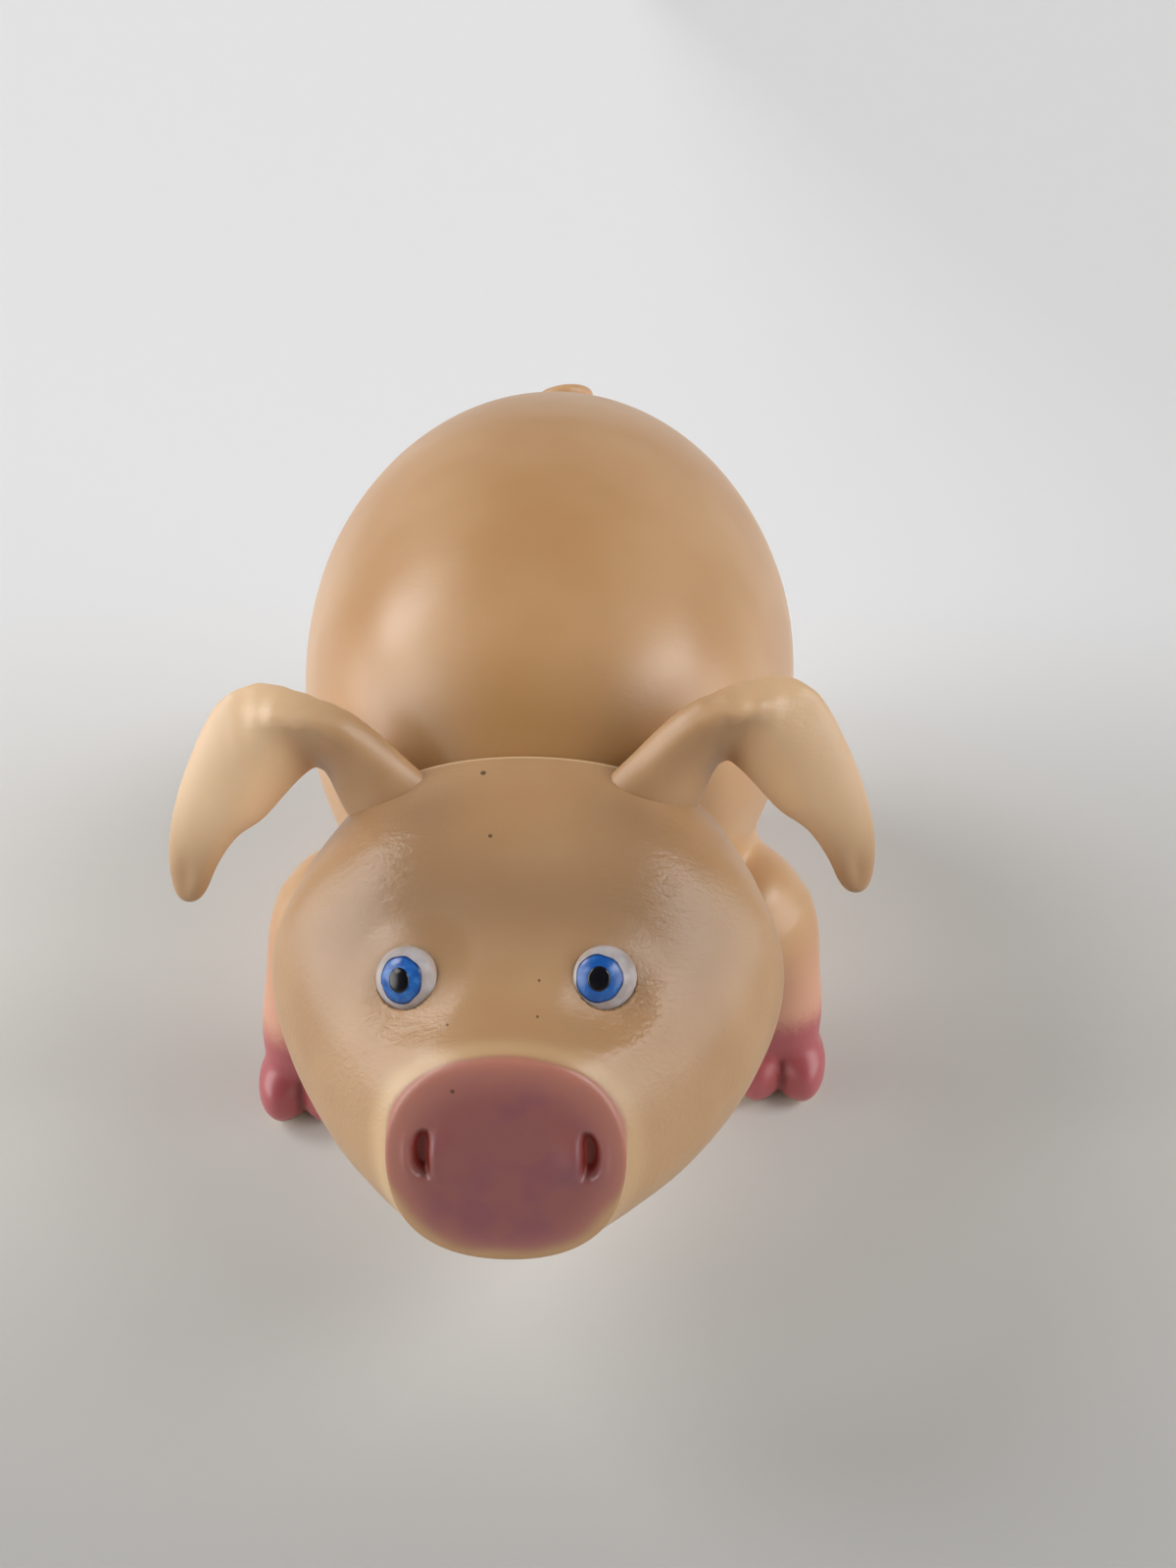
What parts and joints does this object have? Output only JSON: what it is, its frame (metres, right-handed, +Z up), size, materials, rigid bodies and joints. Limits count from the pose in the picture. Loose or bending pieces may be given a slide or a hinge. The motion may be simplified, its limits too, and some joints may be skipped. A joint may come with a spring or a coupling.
{
  "type": "toy pig",
  "caption": "Hollow vinyl toy pig with a turning head on a snap-in neck, plugged-in flap ears and curled tail, and set-in domed eyes.",
  "frame": {"origin": "on the ground, under the middle of the whole pig's bounding box", "axes": "+Z up, -Y the way the snout points, +X the pig's own left side"},
  "size_m": [0.1566, 0.274, 0.167],
  "materials": {
    "body_vinyl": "satin peach vinyl, hooves airbrushed pink",
    "head_vinyl": "satin tan vinyl, snout disc airbrushed mauve",
    "ear_vinyl": "satin tan vinyl, slightly wrinkled",
    "eye_white": "milky glossy plastic",
    "iris_blue": "mottled glossy blue",
    "pupil_black": "glossy black"
  },
  "bodies": {
    "body": {"body_shell": "body_vinyl", "tail": "body_vinyl"},
    "head": {"head_shell": "head_vinyl", "left_ear": "ear_vinyl", "right_ear": "ear_vinyl", "left_eye_white": "eye_white", "right_eye_white": "eye_white", "left_iris": "iris_blue", "right_iris": "iris_blue", "left_pupil": "pupil_black", "right_pupil": "pupil_black"}
  },
  "joints": [
    {"name": "head_turn", "type": "hinge", "parent": "body", "child": "head", "pos_m": [0, -0.05736, 0.086], "axis": [0, 1, 0], "continuous": true}
  ]
}
